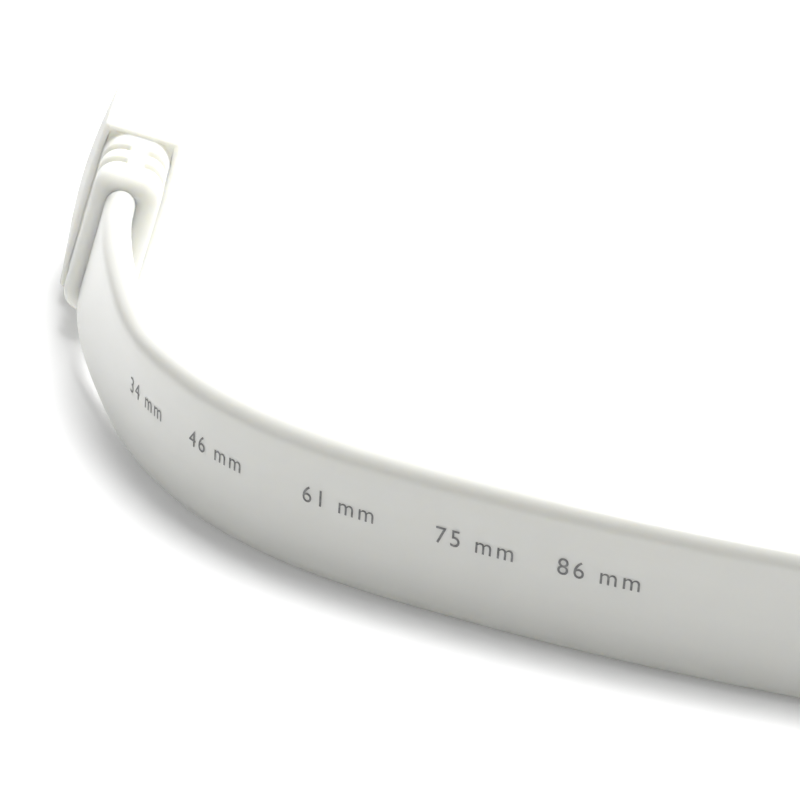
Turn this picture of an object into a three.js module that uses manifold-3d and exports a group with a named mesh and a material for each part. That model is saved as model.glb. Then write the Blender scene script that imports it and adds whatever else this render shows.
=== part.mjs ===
// A flat white HDMI cable that stands on its narrow edge. One plug rests on its narrow side in front, and the
// spare length is wound into a coil beside it. The unit is the millimetre, +Z is up and the floor is z = 0.
// The origin is under the middle of the near plug, whose nose points along +Y.
import * as THREE from "three";
import { mergeVertices } from "three/addons/utils/BufferGeometryUtils.js";
import Module from "manifold-3d";

const wasm = await Module();
wasm.setup();

const CLEARANCE = 0.3; // between pieces that touch

// The cable's section
const CABLE_WIDTH = 14.0;
const CABLE_THICKNESS = 3.2;
const EDGE_ARC_STEPS = 4; // sides of the plain section on each rounded edge

// A plug's moulded body in the plug's own frame: X is across its thickness, Y runs along it towards the nose,
// Z is along its width, and the origin is the middle of the cable where it comes out.
const RELIEF_LENGTH = 9.25;
const RELIEF_THICKNESS = 7.3;
const RELIEF_WIDTH_AT_CABLE = 16.4;
const RELIEF_WIDTH_AT_BODY = 18.6;
const RELIEF_ROUNDING = 1.7;
const RELIEF_ROOT = 1.5; // how far the relief runs into the body
const GROOVE_PLACES = [3.9, 6.7];
const GROOVE_WIDTH = 1.0;
const GROOVE_DEPTH = 0.8;
const GROOVE_REACH = 4.2; // how far a groove runs down the wide face
const SPINE_WIDTH = 1.8; // left whole between the grooves of a narrow side
const BODY_LENGTH = 18.4;
const BODY_WIDTH = 20.4;
const BODY_EDGE_THICKNESS = 7.8;
const BODY_MIDDLE_THICKNESS = 10.2;
const BODY_END_THICKNESS = 8.6;
const BODY_CORNER = 0.7;
const BULGE_STEPS = 8;

// The metal shell and what it holds
const SHELL_WIDTH = 13.9;
const SHELL_THICKNESS = 4.45;
const SHELL_WALL = 0.3;
const SHELL_REACH = 11.8; // from the body's front face to the nose
const SHELL_SEAT = 4.0; // how deep the shell sits in the body
const SHELL_SLANT = 1.3; // the two slanted corners that key the plug
const LATCH_HOLE_LENGTH = 2.4;
const LATCH_HOLE_WIDTH = 1.7;
const LATCH_HOLE_FROM_NOSE = 5.6;
const LATCH_HOLE_SPACING = 6.6;
const INSERT_SETBACK = 0.6; // the insert ends this far inside the shell's mouth
const SLOT_WIDTH = 11.4;
const SLOT_THICKNESS = 1.9;
const SLOT_DEPTH = 8.0;

// Where the plugs stand
const NEAR_EXIT = new THREE.Vector3(-0.18, -19.69, 10.3);
const NEAR_LEAN = THREE.MathUtils.degToRad(14.0);
const NEAR_NOSE_UP = THREE.MathUtils.degToRad(2.4);
const FAR_HEADING = THREE.MathUtils.degToRad(-144.0);

// The coil: turns of the cable standing on edge, wound from the outside in
const COIL_CENTRE = new THREE.Vector2(174.6, -20.0);
const COIL_START_RADIUS = 77.0;
const COIL_END_RADIUS = 63.2;
const COIL_PITCH = 5.3;

// The route of the cable's middle from the near plug to the coil
const LEAD_ROUTE = [
  [-0.54, -19.99, 10.28],
  [-0.45, -24.2, 10.1],
  [0.05, -28.95, 9.65],
  [0.95, -33.75, 9.05],
  [2.15, -38.55, 8.38],
  [3.55, -43.35, 7.7],
  [5.25, -48.05, 7.17],
  [7.25, -52.6, 7.03],
  [9.65, -56.95, 7.0],
  [12.35, -61.15, 7.0],
  [15.55, -65.05, 7.0],
  [19.05, -68.5, 7.0],
  [22.95, -71.6, 7.0],
  [27.15, -74.35, 7.0],
  [35.95, -79.0, 7.0],
  [45.05, -83.15, 7.0],
  [54.35, -86.75, 7.0],
  [63.85, -89.85, 7.0],
  [79.0, -93.8, 7.0],
  [94.5, -96.6, 7.0],
  [110.2, -98.45, 7.0],
  [125.5, -99.4, 7.0],
  [141.2, -99.65, 7.0],
  [156.9, -99.1, 7.0],
  [171.5, -97.96, 7.0],
];

// The route of the cable's middle from the coil to the far plug
const TAIL_ROUTE = [
  [121.8, 13.0, 7.0],
  [119.3, 5.4, 7.05],
  [118.5, -2.5, 7.4],
  [119.3, -10.4, 8.1],
  [121.8, -18.0, 9.1],
  [125.8, -24.8, 10.0],
  [128.7, -28.9, 10.2],
];
const LEAD_STEPS = 46;
const TAIL_STEPS = 10;
const LEAN_LENGTH = 35.0; // the stretch from the near plug over which the cable comes upright
const COIL_SIDES = 72;

function asSolid(geometry) {
  const bare = geometry.clone();
  bare.deleteAttribute("normal");
  bare.deleteAttribute("uv");
  const merged = mergeVertices(bare, 1e-4);
  return new wasm.Manifold(
    new wasm.Mesh({
      numProp: 3,
      vertProperties: merged.attributes.position.array,
      triVerts: new Uint32Array(merged.index.array),
    }),
  );
}

function asMesh(name, solid, material) {
  const made = solid.getMesh();
  const geometry = new THREE.BufferGeometry();
  geometry.setAttribute("position", new THREE.BufferAttribute(made.vertProperties, 3));
  geometry.setIndex(new THREE.BufferAttribute(made.triVerts, 1));
  geometry.computeVertexNormals();
  const mesh = new THREE.Mesh(geometry, material);
  mesh.name = name;
  return mesh;
}

// A box of the given sizes about a middle point.
function block(sizes, middle) {
  const geometry = new THREE.BoxGeometry(...sizes);
  geometry.translate(...middle);
  return asSolid(geometry);
}

// A section drawn in X and Z, carried along Y from one place to another.
function alongY(shape, from, to) {
  const geometry = new THREE.ExtrudeGeometry(shape, { depth: to - from, bevelEnabled: false });
  geometry.rotateX(Math.PI / 2);
  geometry.translate(0, to, 0);
  return asSolid(geometry);
}

// Half of an outline, thickest in the middle, as points from one end of its span to the other.
function bulgingSide(span, endHalf, middleHalf) {
  return Array.from({ length: BULGE_STEPS + 1 }, (_, i) => {
    const along = (2 * i) / BULGE_STEPS - 1;
    return [middleHalf - (middleHalf - endHalf) * along * along, (span / 2) * along];
  });
}

// The body is a block whose wide faces bulge along it and across it, with small chamfers on its corners.
function bodyBlock() {
  const side = bulgingSide(BODY_WIDTH - 2 * BODY_CORNER, BODY_EDGE_THICKNESS / 2, BODY_MIDDLE_THICKNESS / 2);
  const capHalf = BODY_EDGE_THICKNESS / 2 - BODY_CORNER;
  const top = BODY_WIDTH / 2;
  const across = new THREE.Shape([
    ...side.map(([x, z]) => new THREE.Vector2(x, z)),
    new THREE.Vector2(capHalf, top),
    new THREE.Vector2(-capHalf, top),
    ...side.map(([x, z]) => new THREE.Vector2(-x, -z)),
    new THREE.Vector2(-capHalf, -top),
    new THREE.Vector2(capHalf, -top),
  ]);
  const flank = bulgingSide(BODY_LENGTH, BODY_END_THICKNESS / 2, BODY_MIDDLE_THICKNESS / 2);
  const along = new THREE.Shape([
    ...flank.map(([x, y]) => new THREE.Vector2(x, y)),
    ...flank.map(([x, y]) => new THREE.Vector2(-x, -y)),
  ]);
  const plan = new THREE.ExtrudeGeometry(along, { depth: BODY_WIDTH, bevelEnabled: false });
  plan.translate(0, RELIEF_LENGTH + BODY_LENGTH / 2, -BODY_WIDTH / 2);
  return alongY(across, RELIEF_LENGTH, RELIEF_LENGTH + BODY_LENGTH).intersect(asSolid(plan));
}

// The relief narrows from the body to the cable, and short grooves round its corners let it bend.
function strainRelief() {
  const round = RELIEF_ROUNDING;
  const atCable = RELIEF_WIDTH_AT_CABLE / 2 - round;
  const atBody = RELIEF_WIDTH_AT_BODY / 2 - round;
  const outline = new THREE.Shape([
    new THREE.Vector2(round, -atCable),
    new THREE.Vector2(RELIEF_LENGTH + RELIEF_ROOT, -atBody),
    new THREE.Vector2(RELIEF_LENGTH + RELIEF_ROOT, atBody),
    new THREE.Vector2(round, atCable),
  ]);
  const geometry = new THREE.ExtrudeGeometry(outline, {
    depth: RELIEF_THICKNESS - 2 * round,
    bevelSize: round,
    bevelThickness: round,
    bevelSegments: 3,
  });
  geometry.translate(0, 0, round - RELIEF_THICKNESS / 2);
  geometry.rotateX(Math.PI / 2);
  geometry.rotateZ(Math.PI / 2);
  let relief = asSolid(geometry);
  const widest = RELIEF_WIDTH_AT_BODY / 2;
  for (const place of GROOVE_PLACES) {
    const share = place / RELIEF_LENGTH;
    const here = THREE.MathUtils.lerp(RELIEF_WIDTH_AT_CABLE, RELIEF_WIDTH_AT_BODY, share) / 2;
    for (const side of [-1, 1]) {
      for (const end of [-1, 1]) {
        const onNarrow = block(
          [RELIEF_THICKNESS, GROOVE_WIDTH, 2 * GROOVE_DEPTH],
          [side * (SPINE_WIDTH / 2 + RELIEF_THICKNESS / 2), place, end * here],
        );
        const onWide = block(
          [2 * GROOVE_DEPTH, GROOVE_WIDTH, GROOVE_REACH + widest],
          [side * RELIEF_THICKNESS / 2, place, end * (here - GROOVE_REACH + (GROOVE_REACH + widest) / 2)],
        );
        relief = relief.subtract(onNarrow).subtract(onWide);
      }
    }
  }
  return relief;
}

// The shell's outline, with two slanted corners, grown by a margin on every side.
function shellOutline(margin) {
  const half = SHELL_WIDTH / 2 + margin;
  const deep = SHELL_THICKNESS / 2 + margin;
  return new THREE.Shape([
    new THREE.Vector2(deep, -half),
    new THREE.Vector2(deep, half),
    new THREE.Vector2(-deep + SHELL_SLANT, half),
    new THREE.Vector2(-deep, half - SHELL_SLANT),
    new THREE.Vector2(-deep, -half + SHELL_SLANT),
    new THREE.Vector2(-deep + SHELL_SLANT, -half),
  ]);
}

const BODY_FRONT = RELIEF_LENGTH + BODY_LENGTH;
const NOSE = BODY_FRONT + SHELL_REACH;
const SHELL_BACK = BODY_FRONT - SHELL_SEAT;

function plugBody(name) {
  const seat = alongY(shellOutline(CLEARANCE), SHELL_BACK - CLEARANCE, BODY_FRONT + 1);
  const solid = bodyBlock().add(strainRelief()).subtract(seat);
  const material = new THREE.MeshStandardMaterial({ color: 0xf0f0ec, roughness: 0.38, metalness: 0 });
  return asMesh(name, solid, material);
}

function plugShell(name) {
  let solid = alongY(shellOutline(0), SHELL_BACK, NOSE);
  solid = solid.subtract(alongY(shellOutline(-SHELL_WALL), SHELL_BACK - 1, NOSE + 1));
  for (const side of [-1, 1]) {
    const hole = block(
      [2 * SHELL_THICKNESS, LATCH_HOLE_LENGTH, LATCH_HOLE_WIDTH],
      [0, NOSE - LATCH_HOLE_FROM_NOSE, side * LATCH_HOLE_SPACING / 2],
    );
    solid = solid.subtract(hole);
  }
  const material = new THREE.MeshStandardMaterial({ color: 0xc8c9cc, roughness: 0.28, metalness: 1 });
  return asMesh(name, solid, material);
}

function contactInsert(name) {
  const front = NOSE - INSERT_SETBACK;
  const slot = block(
    [SLOT_THICKNESS, SLOT_DEPTH + 1, SLOT_WIDTH],
    [0, front - (SLOT_DEPTH - 1) / 2, 0],
  );
  const solid = alongY(shellOutline(-SHELL_WALL - CLEARANCE), SHELL_BACK, front).subtract(slot);
  const material = new THREE.MeshStandardMaterial({ color: 0xe4e3dc, roughness: 0.5, metalness: 0 });
  return asMesh(name, solid, material);
}

// The cable's section, a strip with half-round edges: its thickness along X and its width along Y.
function cableSection() {
  const radius = CABLE_THICKNESS / 2;
  const straight = CABLE_WIDTH / 2 - radius;
  const points = [];
  for (const end of [1, -1]) {
    for (let i = 0; i <= EDGE_ARC_STEPS; i += 1) {
      const angle = (Math.PI * i) / EDGE_ARC_STEPS;
      points.push(new THREE.Vector2(end * radius * Math.cos(angle), end * (straight + radius * Math.sin(angle))));
    }
  }
  return new THREE.Shape(points);
}

function cableMaterial() {
  return new THREE.MeshStandardMaterial({ color: 0xecedec, roughness: 0.34, metalness: 0 });
}

// A smooth route along which the strip stands on edge, leaning at its start as the plug leans.
class StandingPath extends THREE.CatmullRomCurve3 {
  constructor(route, lean) {
    super(route.map((point) => new THREE.Vector3(...point)));
    this.lean = lean;
  }

  computeFrenetFrames(steps) {
    const frames = { tangents: [], normals: [], binormals: [] };
    const upright = this.getLength() / LEAN_LENGTH;
    for (let i = 0; i <= steps; i += 1) {
      const tangent = this.getTangentAt(i / steps);
      const left = new THREE.Vector3(-tangent.y, tangent.x, 0).normalize();
      const lean = this.lean * (1 - THREE.MathUtils.smoothstep((upright * i) / steps, 0, 1));
      const up = new THREE.Vector3(0, 0, Math.cos(lean)).addScaledVector(left, Math.sin(lean));
      const normal = new THREE.Vector3().crossVectors(up, tangent).normalize();
      frames.tangents.push(tangent);
      frames.normals.push(normal);
      frames.binormals.push(new THREE.Vector3().crossVectors(tangent, normal));
    }
    return frames;
  }
}

function cableRun(name, route, lean, steps) {
  const extrudePath = new StandingPath(route, lean);
  const geometry = new THREE.ExtrudeGeometry(cableSection(), { steps, extrudePath });
  return asMesh(name, asSolid(geometry), cableMaterial());
}

function cableCoil(name) {
  const half = COIL_PITCH / 2 - CABLE_THICKNESS / 2;
  const outer = COIL_START_RADIUS - half;
  const inner = COIL_END_RADIUS + half;
  const profile = [
    new THREE.Vector2(inner, 0),
    new THREE.Vector2(outer, 0),
    new THREE.Vector2(outer, CABLE_WIDTH),
    new THREE.Vector2(inner, CABLE_WIDTH),
    new THREE.Vector2(inner, 0),
  ];
  const geometry = new THREE.LatheGeometry(profile, COIL_SIDES);
  geometry.rotateX(Math.PI / 2);
  geometry.translate(COIL_CENTRE.x, COIL_CENTRE.y, 0);
  return asMesh(name, asSolid(geometry), cableMaterial());
}

const nearPlug = new THREE.Group();
nearPlug.add(plugBody("plug_body"));
nearPlug.add(plugShell("plug_shell"));
nearPlug.add(contactInsert("contact_insert"));
nearPlug.position.copy(NEAR_EXIT);
nearPlug.rotation.set(NEAR_NOSE_UP, NEAR_LEAN, 0, "YXZ");

const farPlug = new THREE.Group();
farPlug.add(plugBody("far_plug_body"));
farPlug.add(plugShell("far_plug_shell"));
farPlug.add(contactInsert("far_contact_insert"));
farPlug.position.set(...TAIL_ROUTE.at(-1));
farPlug.rotation.z = FAR_HEADING;
farPlug.translateY(CLEARANCE);

const cable = new THREE.Group();
cable.add(nearPlug);
cable.add(cableRun("cable_lead", LEAD_ROUTE, NEAR_LEAN, LEAD_STEPS));
cable.add(cableCoil("cable_coil"));
cable.add(cableRun("cable_tail", TAIL_ROUTE, 0, TAIL_STEPS));
cable.add(farPlug);

export default cable;
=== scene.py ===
# %% [markdown]
# # A flat white video cable on its edge
# The real thing is a strip of soft white plastic, 14 mm wide and about 3 mm thick, with a moulded plug at
# each end. It stands on its narrow edge with one plug in view, and the spare length is coiled beside it. The
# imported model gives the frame: every size and place below is in metres in that same frame.

import bpy
import numpy as np
from mathutils import Matrix, Vector


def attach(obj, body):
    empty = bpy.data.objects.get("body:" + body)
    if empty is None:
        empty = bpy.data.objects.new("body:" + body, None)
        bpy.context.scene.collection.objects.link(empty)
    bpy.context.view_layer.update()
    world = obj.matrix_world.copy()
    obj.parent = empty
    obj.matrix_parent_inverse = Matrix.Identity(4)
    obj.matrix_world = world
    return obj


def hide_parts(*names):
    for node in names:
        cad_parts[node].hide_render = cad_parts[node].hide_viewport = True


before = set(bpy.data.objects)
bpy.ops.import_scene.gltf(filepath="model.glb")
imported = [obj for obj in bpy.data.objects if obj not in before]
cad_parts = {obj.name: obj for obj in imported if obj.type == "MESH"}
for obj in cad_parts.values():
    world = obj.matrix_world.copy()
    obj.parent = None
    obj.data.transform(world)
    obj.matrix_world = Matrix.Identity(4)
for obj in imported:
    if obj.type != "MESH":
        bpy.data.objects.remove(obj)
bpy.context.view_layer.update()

MM = 0.001

# %% [markdown]
# ## The camera
# The photograph was taken from about 30 cm with a long lens, looking down by some 24 degrees, and the
# camera was tilted a little about its own axis. The edges of the plug, the foot of the cable and its upper
# edge fix all of that. A camera is three directions and a place, so its matrix is built from them instead
# of by hand-turned angles.

# %% The camera
PHOTO_SIDE_PX = 800
FOCAL_LENGTH_PX = 3000
SENSOR_MM = 36.0
LOOK_AT = np.array([31.31, -31.57, 0.0]) * MM
CAMERA_DISTANCE = 313.1 * MM
CAMERA_ELEVATION = np.radians(23.63)
CAMERA_AZIMUTH = np.radians(-1.48)
CAMERA_ROLL = np.radians(3.87)
NEAR_CLIP = 10 * MM

backward = np.array([
    np.cos(CAMERA_ELEVATION) * np.sin(CAMERA_AZIMUTH),
    -np.cos(CAMERA_ELEVATION) * np.cos(CAMERA_AZIMUTH),
    np.sin(CAMERA_ELEVATION),
])
level_right = np.array([np.cos(CAMERA_AZIMUTH), np.sin(CAMERA_AZIMUTH), 0.0])
level_up = np.cross(backward, level_right)
right = np.cos(CAMERA_ROLL) * level_right + np.sin(CAMERA_ROLL) * level_up
up = np.cos(CAMERA_ROLL) * level_up - np.sin(CAMERA_ROLL) * level_right

scene = bpy.context.scene
camera_data = bpy.data.cameras.new("camera")
camera_data.sensor_width = SENSOR_MM
camera_data.lens = SENSOR_MM * FOCAL_LENGTH_PX / PHOTO_SIDE_PX
camera_data.clip_start = NEAR_CLIP
camera = bpy.data.objects.new("camera", camera_data)
scene.collection.objects.link(camera)
camera_axes = Matrix(np.stack([right, up, backward], axis=1).tolist()).to_4x4()
camera.matrix_world = Matrix.Translation(LOOK_AT + CAMERA_DISTANCE * backward) @ camera_axes
scene.camera = camera
print("lens", round(camera_data.lens, 1), "mm")

# %% [markdown]
# ## The route of the cable
# A cable is first a line: it leaves the near plug, comes down onto the floor, sweeps to the right out of
# the picture and is wound into a coil there, and its far end lies inside the coil. The points are the same
# as in the CAD source. A cubic spline through them bends without kinks, which matters because a glossy
# strip shows every kink as a break in its highlight.

# %% The route of the cable
LEAD_ROUTE = np.array([
    [-0.54, -19.99, 10.28], [-0.45, -24.2, 10.1], [0.05, -28.95, 9.65], [0.95, -33.75, 9.05],
    [2.15, -38.55, 8.38], [3.55, -43.35, 7.7], [5.25, -48.05, 7.17], [7.25, -52.6, 7.03],
    [9.65, -56.95, 7.0], [12.35, -61.15, 7.0], [15.55, -65.05, 7.0], [19.05, -68.5, 7.0],
    [22.95, -71.6, 7.0], [27.15, -74.35, 7.0], [35.95, -79.0, 7.0], [45.05, -83.15, 7.0],
    [54.35, -86.75, 7.0], [63.85, -89.85, 7.0], [79.0, -93.8, 7.0], [94.5, -96.6, 7.0],
    [110.2, -98.45, 7.0], [125.5, -99.4, 7.0], [141.2, -99.65, 7.0], [156.9, -99.1, 7.0],
    [171.5, -97.96, 7.0],
]) * MM
TAIL_ROUTE = np.array([
    [121.8, 13.0, 7.0], [119.3, 5.4, 7.05], [118.5, -2.5, 7.4], [119.3, -10.4, 8.1], [121.8, -18.0, 9.1],
    [125.8, -24.8, 10.0], [128.7, -28.9, 10.2],
]) * MM
COIL_CENTRE = np.array([174.6, -20.0, 7.0]) * MM
COIL_START_RADIUS = 77.0 * MM
COIL_END_RADIUS = 63.2 * MM
COIL_PITCH = 5.3 * MM
COIL_START_ANGLE = np.radians(280.0)
POINTS_PER_TURN = 18


def coil_turns():
    """Points on a flat anticlockwise spiral: the radius falls evenly by one pitch in each turn."""
    turns = (COIL_START_RADIUS - COIL_END_RADIUS) / COIL_PITCH
    turned = np.linspace(0.0, turns, round(turns * POINTS_PER_TURN) + 1)
    angle = COIL_START_ANGLE + 2 * np.pi * turned
    radius = COIL_START_RADIUS - COIL_PITCH * turned
    return COIL_CENTRE + radius[:, None] * np.stack([np.cos(angle), np.sin(angle), 0 * angle], axis=1)


def smooth_line(points, step):
    """Points a step apart on the natural cubic spline through the given points.

    The spline's parameter is the distance from point to point. Its second derivatives solve one linear
    system: zero at both ends, and equal slopes on both sides of every inner point.
    """
    distance = np.concatenate([[0.0], np.cumsum(np.linalg.norm(np.diff(points, axis=0), axis=1))])
    gap = np.diff(distance)
    slope = np.diff(points, axis=0) / gap[:, None]
    system = np.eye(len(points))
    target = np.zeros_like(points)
    inner = np.arange(1, len(points) - 1)
    system[inner, inner - 1] = gap[:-1]
    system[inner, inner] = 2 * (gap[:-1] + gap[1:])
    system[inner, inner + 1] = gap[1:]
    target[inner] = 6 * np.diff(slope, axis=0)
    bend = np.linalg.solve(system, target)
    at = np.linspace(0.0, distance[-1], int(distance[-1] / step) + 1)
    span = np.clip(np.searchsorted(distance, at, side="right") - 1, 0, len(gap) - 1)
    h = gap[span][:, None]
    after = ((at - distance[span])[:, None]) / h
    before = 1 - after
    curved = (before**3 - before) * bend[span] + (after**3 - after) * bend[span + 1]
    return before * points[span] + after * points[span + 1] + curved * h * h / 6


RING_STEP = 1.0 * MM
INTO_NEAR_PLUG = np.array([0.0, 2.5, 0.1]) * MM
INTO_FAR_PLUG = np.array([1.5, -2.0, 0.0]) * MM
near_end = LEAD_ROUTE[0] + INTO_NEAR_PLUG
far_end = TAIL_ROUTE[-1] + INTO_FAR_PLUG
route = np.vstack([near_end, LEAD_ROUTE, coil_turns(), TAIL_ROUTE, far_end])
cable_line = smooth_line(route, RING_STEP)
along_line = np.concatenate([[0.0], np.cumsum(np.linalg.norm(np.diff(cable_line, axis=0), axis=1))])

# %% [markdown]
# ## The jacket
# The jacket is extruded: one section, a strip with half-round edges, pushed along the route. The strip
# stands on edge, and near the plug it leans as the plug leans. So the surface is a function of two
# parameters, the distance along the line and the place round the section, and its points come from one sum
# of whole arrays. Each ring also gets its distance in a UV map, so a pattern can follow the jacket.

# %% The jacket
CABLE_WIDTH = 14.0 * MM
CABLE_THICKNESS = 3.2 * MM
ARC_SIDES = 14
FACE_SIDES = 10
PLUG_LEAN = np.radians(14.0)
LEAN_LENGTH = 35.0 * MM


def smooth_share(x):
    """0 below 0, 1 above 1, and three x squared less two x cubed between them."""
    x = np.clip(x, 0.0, 1.0)
    return x * x * (3 - 2 * x)


def strip_section():
    """Points round a strip with half-round edges: across its thickness and along its width.

    Half a circle makes the upper edge and a straight run the left face. Their negatives make the rest.
    """
    radius = CABLE_THICKNESS / 2
    straight = CABLE_WIDTH / 2 - radius
    angle = np.linspace(0.0, np.pi, ARC_SIDES + 1)
    top = np.stack([radius * np.cos(angle), straight + radius * np.sin(angle)], axis=1)
    fall = np.linspace(straight, -straight, FACE_SIDES + 1)[1:-1]
    left = np.stack([np.full_like(fall, -radius), fall], axis=1)
    return np.vstack([top, left, -top, -left])


def line_frames(line, lean):
    """For each point of a line: its direction, the side to its right, and its leaning upright.

    The upright leans to the left of the line. The side is the cross product of direction and upright, and
    the cross product of side and direction makes the upright square to both.
    """
    direction = np.gradient(line, axis=0)
    direction /= np.linalg.norm(direction, axis=1)[:, None]
    left = np.stack([-direction[:, 1], direction[:, 0], 0 * lean], axis=1)
    left /= np.linalg.norm(left, axis=1)[:, None]
    upright = np.sin(lean)[:, None] * left + np.cos(lean)[:, None] * np.array([0.0, 0.0, 1.0])
    side = np.cross(direction, upright)
    side /= np.linalg.norm(side, axis=1)[:, None]
    return direction, side, np.cross(side, direction)


def new_mesh(name, vertices, faces, uv=None, smooth=True):
    """An object from point and face arrays, with smooth or flat shading."""
    mesh = bpy.data.meshes.new(name)
    mesh.from_pydata(np.asarray(vertices).tolist(), [], [list(f) for f in faces])
    mesh.polygons.foreach_set("use_smooth", np.full(len(mesh.polygons), smooth))
    if uv is not None:
        corner = np.empty(len(mesh.loops), int)
        mesh.loops.foreach_get("vertex_index", corner)
        layer = mesh.uv_layers.new(name="UVMap")
        layer.data.foreach_set("uv", np.asarray(uv)[corner].ravel())
    mesh.update()
    made = bpy.data.objects.new(name, mesh)
    scene.collection.objects.link(made)
    return made


def tube_faces(rings, around, capped=True):
    """Quads between neighbouring closed rings.

    They face out where the rings run anticlockwise, seen along the line.
    """
    ring = np.arange(rings - 1)[:, None] * around
    here = np.arange(around)[None, :]
    after = (here + 1) % around
    quads = np.stack([ring + here, ring + around + here, ring + around + after, ring + after], axis=-1)
    faces = [tuple(q) for q in quads.reshape(-1, 4).tolist()]
    if capped:
        faces.append(tuple(range(around)))
        faces.append(tuple(range(rings * around - 1, (rings - 1) * around - 1, -1)))
    return faces


cable_lean = PLUG_LEAN * (1 - smooth_share(along_line / LEAN_LENGTH))
cable_direction, cable_side, cable_up = line_frames(cable_line, cable_lean)
section = strip_section()
# A jacket point is a sum: the line's point, the distance across times the side, the height times the upright.
jacket_points = (
    cable_line[:, None, :]
    + section[None, :, :1] * cable_side[:, None, :]
    + section[None, :, 1:] * cable_up[:, None, :]
).reshape(-1, 3)
section_walk = np.linspace(0.0, 1.0, len(section))
jacket_uv = np.stack(
    [np.repeat(along_line, len(section)), np.tile(section_walk, len(cable_line))], axis=1
)
jacket = new_mesh("cable_jacket", jacket_points, tube_faces(len(cable_line), len(section)), jacket_uv)
print("jacket quads", len(jacket.data.polygons))

# %% [markdown]
# ## The ring of a plug body
# A plug's body and its strain relief come out of one mould, in white plastic, over the end of the cable.
# The shape changes all along its length: it starts as a rim round the cable, runs through three soft rings
# with grooves between them, steps out to the body and bulges on both wide faces. Each cross-section is
# still a rounded rectangle, so the surface is a loft: a stack of rings with the same number of points,
# where only the half sizes, the corner radius, the bulge and the groove depth change from ring to ring.

# %% The ring of a plug body
CORNER_SIDES = 8
WIDE_SIDES = 34
NARROW_SIDES = 18
EDGE_STEPS = 6


def unit_ring():
    """The pattern of a rounded rectangle: the corner that each point belongs to, and its way out of it.

    The first pair runs from -1 to 1 along each flat and keeps its sign round a corner. The second pair is the
    cosine and sine of the direction that the surface faces.
    """
    quarter = np.linspace(0.0, np.pi / 2, CORNER_SIDES + 1)
    wide_flat = np.linspace(-1.0, 1.0, WIDE_SIDES + 1)[1:-1]
    narrow_flat = np.linspace(1.0, -1.0, NARROW_SIDES + 1)[1:-1]
    corner, facing = [], []
    for turn, (x, z) in enumerate([(1, 1), (-1, 1), (-1, -1), (1, -1)]):
        start = turn * np.pi / 2
        if turn % 2 == 0:
            flat = wide_flat
            corner.append(np.stack([np.full_like(flat, x), x * flat], axis=1))
        else:
            flat = narrow_flat
            corner.append(np.stack([-x * flat, np.full_like(flat, z)], axis=1))
        facing.append(np.tile([np.cos(start), np.sin(start)], (len(flat), 1)))
        corner.append(np.tile([x, z], (len(quarter), 1)))
        facing.append(np.stack([np.cos(start + quarter), np.sin(start + quarter)], axis=1))
    return np.vstack(corner), np.vstack(facing)


def rounded_edge(radius):
    """Inset and setback of a quarter-round edge, from its flat end face to its side.

    They are the radius less its sine part and the radius less its cosine part, over a quarter turn.
    """
    angle = np.linspace(0.0, np.pi / 2, EDGE_STEPS + 1)
    return radius * (1 - np.sin(angle)), radius * (1 - np.cos(angle))


ring_corners, ring_facing = unit_ring()
print("points in a ring:", len(ring_corners))

# %% [markdown]
# ## The rings along the plug
# The list of rings is read from the cable to the nose: a hole that hides in the cable, the round rim, the
# shaft of the relief, the flat ledge behind the body, the body's rounded rear edge, its sides, its rounded
# front edge, and the seat of the shell. Each ring is one row of sizes.

# %% The rings along the plug
RELIEF_LENGTH = 9.25 * MM
RELIEF_THICKNESS = 7.3 * MM
RELIEF_WIDTHS = np.array([16.4, 18.6]) * MM
RELIEF_CORNER = 2.2 * MM
RIM_ROUNDING = 1.6 * MM
RELIEF_CROWN = 0.2 * MM
BODY_LENGTH = 18.4 * MM
BODY_WIDTH = 20.4 * MM
BODY_EDGE_THICKNESSES = np.array([8.4, 7.5]) * MM
BODY_END_BULGE = 0.3 * MM
BODY_MIDDLE_BULGE = 1.1 * MM
BODY_CORNER = 0.45 * MM
BODY_ROUNDING = 0.7 * MM
FILLET = 0.15 * MM
LEDGE_SHARES = [0.08, 0.92]
SEAT_MARGIN = 0.3 * MM
SEAT_DEPTH = 1.5 * MM
SEAT_CORNER = 1.0 * MM
LEAST_RELIEF_CORNER = 0.4 * MM
LEAST_BODY_CORNER = 0.15 * MM
HOLE_INSET = 0.5 * MM
HOLE_DEPTH = 2.0 * MM
SHELL_WIDTH = 13.9 * MM
SHELL_THICKNESS = 4.45 * MM
RELIEF_RING_STEP = 0.1 * MM
BODY_RINGS = 40


def relief_stations():
    """Rings from inside the cable's hole over the rim to the foot of the relief, in six columns.

    The columns are the place along the plug, the two half sizes, the corner radius, the bulge and the crown.
    """
    cable_half = np.array([CABLE_THICKNESS, CABLE_WIDTH]) / 2 - HOLE_INSET
    hole = [[depth, *cable_half, cable_half[0], 0.0, 0.0] for depth in (HOLE_DEPTH, 0.0)]
    inset, setback = rounded_edge(RIM_ROUNDING)
    shaft_places = np.arange(RIM_ROUNDING, RELIEF_LENGTH - FILLET, RELIEF_RING_STEP)
    along = np.concatenate([setback, shaft_places[1:]])
    cut = np.concatenate([inset, np.zeros(len(along) - len(inset))])
    half_width = np.interp(along, [0, RELIEF_LENGTH], RELIEF_WIDTHS / 2) - cut
    half_thickness = np.full_like(along, RELIEF_THICKNESS / 2) - cut
    radius = np.maximum(RELIEF_CORNER - cut, LEAST_RELIEF_CORNER)
    crown = RELIEF_CROWN * smooth_share(along / RIM_ROUNDING)
    shaft = np.stack([along, half_thickness, half_width, radius, np.zeros_like(along), crown], axis=1)
    foot = shaft[-1] + FILLET * np.array([0.0, 1.0, 1.0, 1.0, 0.0, 0.0])
    foot[0] = RELIEF_LENGTH
    return np.vstack([hole, shaft, foot])


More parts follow.
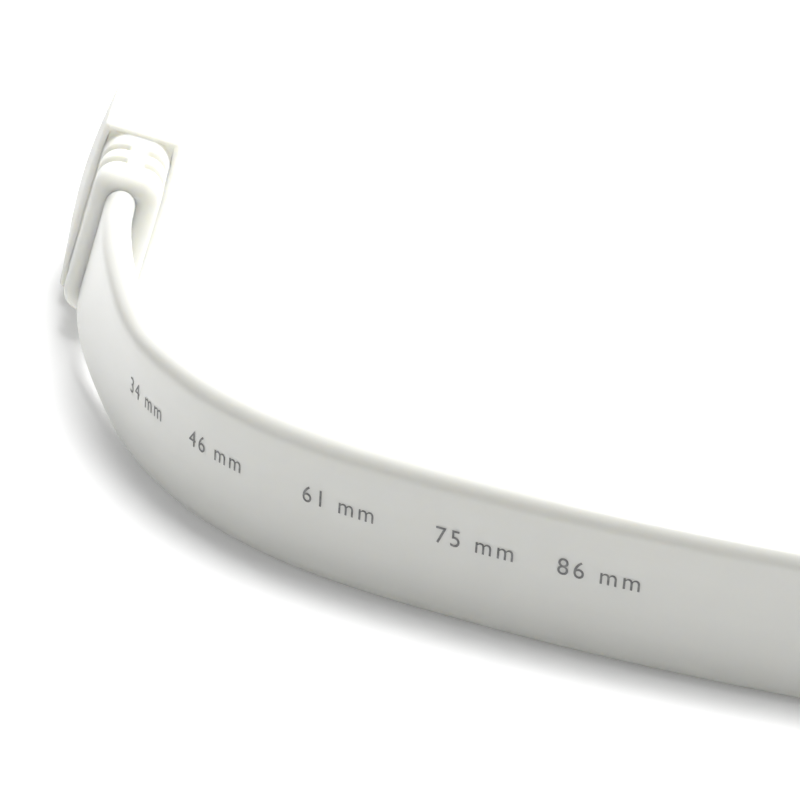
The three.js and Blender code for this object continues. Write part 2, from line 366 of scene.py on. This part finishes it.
def body_stations():
    """Rings from the step behind the body to inside the shell's seat, in the same six columns."""
    inset, setback = rounded_edge(BODY_ROUNDING)
    side = np.linspace(BODY_ROUNDING, BODY_LENGTH - BODY_ROUNDING, BODY_RINGS)
    along = np.concatenate([setback, side[1:-1], BODY_LENGTH - setback[::-1]])
    cut = np.concatenate([inset, np.zeros(len(side) - 2), inset[::-1]])
    share = along / BODY_LENGTH
    edge = np.interp(share, [0, 1], BODY_EDGE_THICKNESSES / 2) - cut
    bulge = BODY_END_BULGE + (BODY_MIDDLE_BULGE - BODY_END_BULGE) * (1 - (2 * share - 1) ** 2)
    half_width = np.full_like(along, BODY_WIDTH / 2) - cut
    radius = np.maximum(BODY_CORNER - cut, LEAST_BODY_CORNER)
    shell = np.stack([along, edge, half_width, radius, bulge, np.zeros_like(along)], axis=1)
    shell_half = np.array([SHELL_THICKNESS, SHELL_WIDTH]) / 2 + SEAT_MARGIN
    seat = [[place, *shell_half, SEAT_CORNER, 0.0, 0.0] for place in (BODY_LENGTH, BODY_LENGTH - SEAT_DEPTH)]
    rings = np.vstack([shell, seat])
    rings[:, 0] += RELIEF_LENGTH
    return rings


def ledge_stations(foot, rim):
    """Rings on the flat ledge between the relief's foot and the body's rim. They keep its shading flat."""
    return foot + np.array(LEDGE_SHARES)[:, None] * (rim - foot)


relief_rings = relief_stations()
body_rings = body_stations()
ledge_rings = ledge_stations(relief_rings[-1], body_rings[0])
plug_rings = np.vstack([relief_rings, ledge_rings, body_rings])
print("rings in a plug:", len(plug_rings))

# %% [markdown]
# ## The moulded plug bodies
# The rings become a surface by one formula for all points at once. The grooves belong to the mould too: they
# run round both narrow sides of the relief and stop at a plain strip in the middle of each. Both plugs are
# the same loft, put in two places.

# %% The moulded plug bodies
GROOVE_PLACES = np.array([3.9, 6.7]) * MM
GROOVE_HALF_WIDTHS = np.array([0.25, 0.75]) * MM
GROOVE_DEPTH = 0.9 * MM
GROOVE_REACH = 4.4 * MM
SPINE_HALF_WIDTH = 0.7 * MM
GROOVE_FADE = 0.5 * MM


def placed(points, place):
    """Points of a plug's own frame, moved by its 4 by 4 matrix."""
    return points @ place[:3, :3].T + place[:3, 3]


def plug_body(name, place):
    """The moulded body as one closed loft, put in its place by a 4 by 4 matrix.

    A point is its corner's centre plus the corner radius along its facing. A parabola along the width adds
    the bulge, a parabola across the thickness adds the crown, and near a groove's place the point sinks
    along its facing, except on the strip in the middle.
    """
    corner, facing = ring_corners, ring_facing
    along, half_thickness, half_width, radius, bulge, crown = plug_rings.T[:, :, None]
    x = corner[:, 0] * (half_thickness - radius) + facing[:, 0] * radius
    z = corner[:, 1] * (half_width - radius) + facing[:, 1] * radius
    crown_height = crown * corner[:, 1] * (1 - (x / half_thickness) ** 2)
    x += bulge * corner[:, 0] * (1 - (z / half_width) ** 2)
    z += crown_height
    nearest = np.abs(along - GROOVE_PLACES).min(axis=1, keepdims=True)
    narrow, wide = GROOVE_HALF_WIDTHS
    groove = GROOVE_DEPTH * (1 - smooth_share((nearest - narrow) / (wide - narrow)))
    groove = groove * smooth_share((np.abs(z) - half_width + GROOVE_REACH) / GROOVE_FADE)
    groove = groove * smooth_share((np.abs(x) - SPINE_HALF_WIDTH) / GROOVE_FADE)
    x -= groove * facing[:, 0]
    z -= groove * facing[:, 1]
    points = np.stack([x, np.broadcast_to(along, x.shape), z], axis=-1).reshape(-1, 3)
    faces = tube_faces(len(plug_rings), len(corner))
    return new_mesh(name, placed(points, place), faces)


def plug_matrix(origin, heading, lean, nose_up):
    """A plug's place as a 4 by 4 matrix: nose up, then lean to the right, then turn to its heading."""
    turn = Matrix.Rotation(heading, 4, "Z") @ Matrix.Rotation(lean, 4, "Y") @ Matrix.Rotation(nose_up, 4, "X")
    return np.array(Matrix.Translation(origin.tolist()) @ turn)


NEAR_EXIT = np.array([-0.18, -19.69, 10.3]) * MM
NEAR_NOSE_UP = np.radians(2.4)
FAR_HEADING = np.radians(-144.0)
CLEARANCE = 0.3 * MM
far_forward = np.array([-np.sin(FAR_HEADING), np.cos(FAR_HEADING), 0.0])
near_place = plug_matrix(NEAR_EXIT, 0.0, PLUG_LEAN, NEAR_NOSE_UP)
far_place = plug_matrix(TAIL_ROUTE[-1] + CLEARANCE * far_forward, FAR_HEADING, 0.0, 0.0)
near_body = plug_body("plug_moulding", near_place)
far_body = plug_body("far_plug_moulding", far_place)
print("plug quads", len(near_body.data.polygons))

# %% [markdown]
# ## The metal shells
# A plug's shell is thin nickel-plated steel, folded into a tube with two slanted corners and pierced by two
# latch holes on each wide side. The tube is drawn as a thin sheet whose rows and columns fall on the edges
# of the holes, so that a hole is made by leaving quads out. A Solidify modifier then gives the steel its
# thickness and a Bevel modifier softens the cut edges.

# %% The metal shells
SHELL_REACH = 11.8 * MM
SHELL_SEAT = 1.4 * MM
SHELL_SLANT = 1.3 * MM
SHELL_WALL = 0.3 * MM
SHELL_EDGE_ROUNDING = 0.12 * MM
SHELL_EDGE_STEPS = 2
SHARP_EDGE = np.radians(30)
LATCH_HOLE_WIDTH = 2.4 * MM
LATCH_HOLE_LENGTH = 1.7 * MM
LATCH_HOLE_FROM_NOSE = 5.6 * MM
LATCH_HOLE_SPACING = 6.6 * MM
# The latch holes are these quads of the tube: one row, and two columns on each wide side.
LATCH_ROW = 2
LATCH_COLUMNS = [1, 3, 8, 10]
BODY_FRONT = RELIEF_LENGTH + BODY_LENGTH
NOSE = BODY_FRONT + SHELL_REACH


def plug_shell(name, place):
    """The shell as an open tube with four latch holes.

    Its outline is an oblong with two slanted corners, repeated at each row along the plug.
    """
    half = SHELL_WIDTH / 2
    deep = SHELL_THICKNESS / 2
    hole = LATCH_HOLE_SPACING / 2 + np.array([-LATCH_HOLE_WIDTH / 2, LATCH_HOLE_WIDTH / 2])
    columns = np.concatenate([-hole[::-1], hole])
    wide_side = np.concatenate([[-half], columns, [half]])
    slant_side = np.concatenate([[half - SHELL_SLANT], columns[::-1], [-half + SHELL_SLANT]])
    outline = np.vstack([
        np.stack([np.full_like(wide_side, deep), wide_side], axis=1),
        [[-deep + SHELL_SLANT, half]],
        np.stack([np.full_like(slant_side, -deep), slant_side], axis=1),
        [[-deep + SHELL_SLANT, -half]],
    ])
    hole_y = NOSE - LATCH_HOLE_FROM_NOSE + np.array([-LATCH_HOLE_LENGTH / 2, LATCH_HOLE_LENGTH / 2])
    rows = np.concatenate([[BODY_FRONT - SHELL_SEAT, BODY_FRONT], hole_y, [NOSE]])
    around = len(outline)
    points = np.empty((len(rows), around, 3))
    points[..., [0, 2]] = outline
    points[..., 1] = rows[:, None]
    quads = np.array(tube_faces(len(rows), around, capped=False)).reshape(len(rows) - 1, around, 4)
    kept = np.ones((len(rows) - 1, around), bool)
    kept[LATCH_ROW, LATCH_COLUMNS] = False
    made = new_mesh(name, placed(points.reshape(-1, 3), place), quads[kept].tolist(), smooth=False)
    wall = made.modifiers.new("wall", "SOLIDIFY")
    wall.thickness = SHELL_WALL
    wall.offset = -1.0
    wall.use_even_offset = True
    edge = made.modifiers.new("soft edges", "BEVEL")
    edge.width = SHELL_EDGE_ROUNDING
    edge.segments = SHELL_EDGE_STEPS
    edge.limit_method = "ANGLE"
    edge.angle_limit = SHARP_EDGE
    return made


near_shell = plug_shell("plug_metal_shell", near_place)
far_shell = plug_shell("far_plug_metal_shell", far_place)
print("shell quads", len(near_shell.data.polygons))

# %% [markdown]
# ## The contacts
# Inside the shell a plastic tongue holds nineteen gilded contacts in two rows, ten on one side of the slot
# and nine on the other, half a step apart. They are narrow strips of spring metal that stand a little out
# of the plastic. All the strips of one plug are one mesh, made from one box repeated along a list of
# places.

# %% The contacts
CONTACT_PITCH = 1.0 * MM
CONTACT_WIDTH = 0.45 * MM
CONTACT_LENGTH = 6.5 * MM
CONTACT_HEIGHT = 0.22 * MM
SLOT_HALF_THICKNESS = 0.95 * MM
INSERT_SETBACK = 0.6 * MM
CONTACT_SETBACK = 0.9 * MM
CONTACT_COUNTS = (10, 9)
STANDING_OUT_SHARE = 0.8


def contact_strips(name, place):
    """Ten strips on one side of the slot and nine on the other.

    Each strip is a unit cube, multiplied by the strip's size and moved to the strip's corner.
    """
    cube = np.array([[x, y, z] for x in (0, 1) for y in (0, 1) for z in (0, 1)], float)
    cube_faces = np.array([
        [0, 1, 3, 2], [4, 6, 7, 5], [0, 4, 5, 1],
        [2, 3, 7, 6], [0, 2, 6, 4], [1, 5, 7, 3],
    ])
    size = np.array([CONTACT_HEIGHT, CONTACT_LENGTH, CONTACT_WIDTH])
    back = NOSE - INSERT_SETBACK - CONTACT_SETBACK - CONTACT_LENGTH
    right_side = SLOT_HALF_THICKNESS - CONTACT_HEIGHT * STANDING_OUT_SHARE
    left_side = -SLOT_HALF_THICKNESS - CONTACT_HEIGHT * (1 - STANDING_OUT_SHARE)
    corner = np.vstack([
        np.stack([
            np.full(count, side),
            np.full(count, back),
            (np.arange(count) - (count - 1) / 2) * CONTACT_PITCH - CONTACT_WIDTH / 2,
        ], axis=1)
        for count, side in zip(CONTACT_COUNTS, (right_side, left_side))
    ])
    points = (corner[:, None, :] + cube * size).reshape(-1, 3)
    faces = (np.arange(len(corner))[:, None, None] * len(cube) + cube_faces).reshape(-1, 4)
    return new_mesh(name, placed(points, place), faces.tolist(), smooth=False)


near_contacts = contact_strips("plug_contacts", near_place)
far_contacts = contact_strips("far_plug_contacts", far_place)
print("contact quads", len(near_contacts.data.polygons))

# %% [markdown]
# ## The marks on the jacket
# A jacket is printed while it is made, in grey ink, with marks that repeat along it. Here they are plain
# distances in millimetres from the jacket's end inside the plug. The letters are flat meshes from the
# built-in typeface, laid onto the outer face: the distance along the line gives the place, and the height
# stays the height.

# %% The marks on the jacket
MARK_PLACES = np.array([33.5, 46.4, 61.3, 74.9, 86.5]) * MM
MARK_HEIGHT = 1.6 * MM
MARK_BASELINE = 7.64 * MM
MARK_LIFT = 0.03 * MM
MARK_SPREAD = 1.25
CAPITAL_SHARE = 0.69
LETTER_CURVE_STEPS = 4


def flat_text(words):
    """The filled letters of a text as points and faces in the plane, one capital letter high."""
    curve = bpy.data.curves.new("marks", "FONT")
    curve.body = words
    curve.size = MARK_HEIGHT / CAPITAL_SHARE
    curve.space_character = MARK_SPREAD
    curve.resolution_u = LETTER_CURVE_STEPS
    holder = bpy.data.objects.new("marks", curve)
    scene.collection.objects.link(holder)
    bpy.context.view_layer.update()
    mesh = bpy.data.meshes.new_from_object(holder)
    points = np.empty(len(mesh.vertices) * 3)
    mesh.vertices.foreach_get("co", points)
    faces = [tuple(face.vertices) for face in mesh.polygons]
    bpy.data.objects.remove(holder)
    bpy.data.curves.remove(curve)
    bpy.data.meshes.remove(mesh)
    return points.reshape(-1, 3), faces


def line_at(distance, values):
    """A row of values for each distance along the cable."""
    return np.stack([np.interp(distance, along_line, column) for column in values.T], axis=1)


def printed_marks(name):
    """All marks as one mesh that follows the jacket's outer face.

    A letter's point is the line's point at its distance, half a thickness and the lift outward, and its
    height along the jacket's upright.
    """
    points, faces = [], []
    for place in MARK_PLACES:
        flat, filled = flat_text(f"{place / MM:.0f} mm")
        distance = place + flat[:, 0]
        outward = (CABLE_THICKNESS / 2 + MARK_LIFT) * line_at(distance, cable_side)
        upward = (MARK_BASELINE + flat[:, 1:2] - CABLE_WIDTH / 2) * line_at(distance, cable_up)
        first = sum(len(group) for group in points)
        points.append(line_at(distance, cable_line) + outward + upward)
        faces += [tuple(first + corner for corner in face) for face in filled]
    return new_mesh(name, np.vstack(points), faces)


marks = printed_marks("distance_marks")
print("mark faces", len(marks.data.polygons))

# %% [markdown]
# ## How a material is made
# Every material here is made in the same way, by a few small helpers: one noise lets the colour drift,
# another lets the gloss drift, and one of the two also gives a fine relief, so that no surface is one flat
# value. A ramp keeps each drift between a low and a high value.

# %% How a material is made
DRIFT_START = 0.3
DRIFT_END = 0.7


def new_material(name):
    """A node material with its Principled shader."""
    material = bpy.data.materials.new(name)
    material.use_nodes = True
    return material, material.node_tree, material.node_tree.nodes["Principled BSDF"]


def object_place(tree):
    """The place on the piece, in its own coordinates."""
    return tree.nodes.new("ShaderNodeTexCoord").outputs["Object"]


def noise_at(tree, place, scale, detail):
    """Noise of some scale and detail, as a factor."""
    noise = tree.nodes.new("ShaderNodeTexNoise")
    noise.inputs["Scale"].default_value = scale
    noise.inputs["Detail"].default_value = detail
    tree.links.new(place, noise.inputs["Vector"])
    return noise.outputs["Fac"]


def drift(tree, factor, low, high, socket):
    """Lets one input of a shader drift from low to high, over the middle of a noise factor."""
    ramp = tree.nodes.new("ShaderNodeValToRGB")
    first, last = ramp.color_ramp.elements
    first.position = DRIFT_START
    last.position = DRIFT_END
    first.color = (*low, 1.0)
    last.color = (*high, 1.0)
    tree.links.new(factor, ramp.inputs["Fac"])
    tree.links.new(ramp.outputs["Color"], socket)


def grey(value):
    """One value for all three channels."""
    return (value, value, value)


def add_bump(tree, shader, height, strength, distance):
    """A fine relief from a height socket."""
    bump = tree.nodes.new("ShaderNodeBump")
    bump.inputs["Strength"].default_value = strength
    bump.inputs["Distance"].default_value = distance
    tree.links.new(height, bump.inputs["Height"])
    tree.links.new(bump.outputs["Normal"], shader.inputs["Normal"])

# %% [markdown]
# ## The vinyls
# Everything white here is the same kind of soft vinyl, but the jacket is extruded and shiny while the plug
# is moulded and duller. A white plastic is never one flat white: the tint drifts by a percent or two, the
# gloss varies, and a fine relief breaks up the highlights. The jacket's pattern is stretched along its
# length, since it comes from a die, so it reads the jacket's own distance map. The plug's pattern reads
# Object coordinates.

# %% The vinyls
SCATTER_LENGTH = 2.0 * MM
SCATTER_TINT = (1.0, 0.92, 0.7)
VINYL_REFRACTION = 1.5
MOULDING_SHINE = 0.2
JACKET_STRETCH = (25.0, 12.0, 1.0)


def set_soft_plastic(shader, scatter):
    """What both vinyls share: the refraction of vinyl and a little light that travels under the skin."""
    shader.inputs["IOR"].default_value = VINYL_REFRACTION
    shader.inputs["Subsurface Weight"].default_value = scatter
    shader.inputs["Subsurface Radius"].default_value = SCATTER_TINT
    shader.inputs["Subsurface Scale"].default_value = SCATTER_LENGTH


def jacket_vinyl():
    """Shiny white vinyl with a pattern drawn out along the jacket."""
    material, tree, shader = new_material("jacket_vinyl")
    uv = tree.nodes.new("ShaderNodeUVMap")
    uv.uv_map = "UVMap"
    stretch = tree.nodes.new("ShaderNodeMapping")
    stretch.inputs["Scale"].default_value = JACKET_STRETCH
    tree.links.new(uv.outputs["UV"], stretch.inputs["Vector"])
    place = stretch.outputs["Vector"]
    tint = noise_at(tree, place, scale=2.0, detail=3.0)
    drift(tree, tint, (0.645, 0.647, 0.615), (0.655, 0.657, 0.625), shader.inputs["Base Color"])
    gloss = noise_at(tree, place, scale=1.0, detail=1.0)
    drift(tree, gloss, grey(0.28), grey(0.31), shader.inputs["Roughness"])
    add_bump(tree, shader, tint, strength=0.05, distance=0.02 * MM)
    set_soft_plastic(shader, scatter=0.4)
    return material


def plug_vinyl():
    """Duller moulded white vinyl."""
    material, tree, shader = new_material("plug_vinyl")
    place = object_place(tree)
    tint = noise_at(tree, place, scale=90.0, detail=2.0)
    drift(tree, tint, (0.745, 0.747, 0.71), (0.755, 0.757, 0.72), shader.inputs["Base Color"])
    grain = noise_at(tree, place, scale=1500.0, detail=4.0)
    drift(tree, grain, grey(0.55), grey(0.65), shader.inputs["Roughness"])
    add_bump(tree, shader, grain, strength=0.15, distance=0.03 * MM)
    shader.inputs["Specular IOR Level"].default_value = MOULDING_SHINE
    set_soft_plastic(shader, scatter=0.9)
    return material

# %% [markdown]
# ## The metals, the tongue and the ink
# The shells are nickel over steel and the contacts are gilded. Both platings are nearly even, with a gloss
# that varies a little. The tongue is a stiffer, yellower plastic than the vinyl, and the ink lies thin and
# uneven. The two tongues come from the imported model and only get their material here.

# %% The metals, the tongue and the ink
PLATING_SPREAD = 0.1


def plated_metal(name, low, high, roughness):
    """Plated metal, faintly uneven in colour and gloss."""
    material, tree, shader = new_material(name)
    place = object_place(tree)
    tint = noise_at(tree, place, scale=400.0, detail=3.0)
    drift(tree, tint, low, high, shader.inputs["Base Color"])
    grain = noise_at(tree, place, scale=2500.0, detail=3.0)
    drift(tree, grain, grey(roughness), grey(roughness + PLATING_SPREAD), shader.inputs["Roughness"])
    add_bump(tree, shader, grain, strength=0.04, distance=0.002 * MM)
    shader.inputs["Metallic"].default_value = 1.0
    return material


def insert_plastic():
    """Stiff off-white plastic of the tongue."""
    material, tree, shader = new_material("tongue_plastic")
    place = object_place(tree)
    tint = noise_at(tree, place, scale=300.0, detail=2.0)
    drift(tree, tint, (0.70, 0.69, 0.64), (0.76, 0.75, 0.70), shader.inputs["Base Color"])
    grain = noise_at(tree, place, scale=1800.0, detail=3.0)
    drift(tree, grain, grey(0.4), grey(0.55), shader.inputs["Roughness"])
    add_bump(tree, shader, grain, strength=0.1, distance=0.02 * MM)
    return material


def grey_ink():
    """Thin grey ink, a little uneven."""
    material, tree, shader = new_material("grey_ink")
    place = object_place(tree)
    tint = noise_at(tree, place, scale=2500.0, detail=3.0)
    drift(tree, tint, grey(0.10), grey(0.22), shader.inputs["Base Color"])
    grain = noise_at(tree, place, scale=4000.0, detail=2.0)
    drift(tree, grain, grey(0.45), grey(0.6), shader.inputs["Roughness"])
    add_bump(tree, shader, grain, strength=0.1, distance=0.01 * MM)
    return material


def wear(piece, material):
    """Gives one piece one material."""
    piece.data.materials.clear()
    piece.data.materials.append(material)


near_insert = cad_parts["contact_insert"]
far_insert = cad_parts["far_contact_insert"]
nickel = plated_metal("nickel", (0.88, 0.875, 0.86), (0.90, 0.895, 0.88), roughness=0.14)
gilding = plated_metal("gilding", (0.78, 0.56, 0.22), (0.86, 0.64, 0.28), roughness=0.22)
vinyl = plug_vinyl()
tongue = insert_plastic()
wear(jacket, jacket_vinyl())
wear(marks, grey_ink())
for piece in (near_body, far_body):
    wear(piece, vinyl)
for piece in (near_shell, far_shell):
    wear(piece, nickel)
for piece in (near_contacts, far_contacts):
    wear(piece, gilding)
for piece in (near_insert, far_insert):
    wear(piece, tongue)

# %% [markdown]
# ## The table and the light
# The picture was taken on a white sheet that the light burns out completely. A big soft source hangs above,
# a little behind and to the right, and a bright wall stands behind: the upper edges glow, the faces towards
# the camera are light grey, and only a narrow shadow lies along the foot. A cool fill comes from the left,
# and a little light comes up through the sheet, so that the shadow never turns black where the cable
# touches it.

# %% The table and the light
FLOOR_SIZE = 6.0
WORLD_STRENGTH = 0.2
SHEET_ROUGHNESS = 0.7
SHEET_GLOW = 0.12
WHITE = (1.0, 1.0, 1.0)
COOL_WHITE = (0.94, 0.97, 1.0)


def white_sheet():
    """The sheet's material: matt white, faintly uneven, with a little light coming through it from below."""
    material, tree, shader = new_material("white_sheet")
    tint = noise_at(tree, object_place(tree), scale=40.0, detail=3.0)
    drift(tree, tint, grey(0.89), grey(0.91), shader.inputs["Base Color"])
    shader.inputs["Roughness"].default_value = SHEET_ROUGHNESS
    shader.inputs["Emission Color"].default_value = (*WHITE, 1.0)
    shader.inputs["Emission Strength"].default_value = SHEET_GLOW
    return material


def softbox(name, place, aim, width, height, watts, colour):
    """A flat soft source that looks from its place at a point."""
    light = bpy.data.lights.new(name, "AREA")
    light.shape = "RECTANGLE"
    light.size = width
    light.size_y = height
    light.energy = watts
    light.color = colour
    made = bpy.data.objects.new(name, light)
    scene.collection.objects.link(made)
    turn = (Vector(aim) - Vector(place)).to_track_quat("-Z", "Y")
    made.matrix_world = Matrix.Translation(place) @ turn.to_matrix().to_4x4()
    return made


half_floor = FLOOR_SIZE / 2
floor_corners = np.array([[-1, -1, 0], [1, -1, 0], [1, 1, 0], [-1, 1, 0]]) * half_floor
floor = new_mesh("floor", floor_corners, [(0, 1, 2, 3)])
wear(floor, white_sheet())

softbox(
    "key", place=(0.36, 0.20, 0.88), aim=(0.03, -0.04, 0.0),
    width=0.78, height=0.78, watts=19.0, colour=WHITE,
)
softbox(
    "wall", place=(0.0, 1.30, 0.55), aim=(0.0, 0.0, 0.5),
    width=2.6, height=1.1, watts=11.0, colour=WHITE,
)
softbox(
    "fill", place=(-0.80, -0.15, 0.40), aim=(0.0, -0.05, 0.0),
    width=0.6, height=0.6, watts=0.8, colour=COOL_WHITE,
)

world = bpy.data.worlds.new("world")
world.use_nodes = True
background = world.node_tree.nodes["Background"]
background.inputs["Color"].default_value = (*WHITE, 1.0)
background.inputs["Strength"].default_value = WORLD_STRENGTH
scene.world = world
scene.view_settings.view_transform = "Standard"

# %% [markdown]
# ## Joining the frame
# Nothing here moves by a joint, so every piece rides on the one body of the part. The new pieces take the
# place of the plain solids.

# %% Join the frame and finish
for piece in (jacket, marks, near_body, far_body, near_shell, far_shell, near_contacts, far_contacts):
    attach(piece, "root")
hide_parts("cable_lead", "cable_coil", "cable_tail")
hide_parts("plug_body")
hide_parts("far_plug_body")
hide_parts("plug_shell")
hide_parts("far_plug_shell")
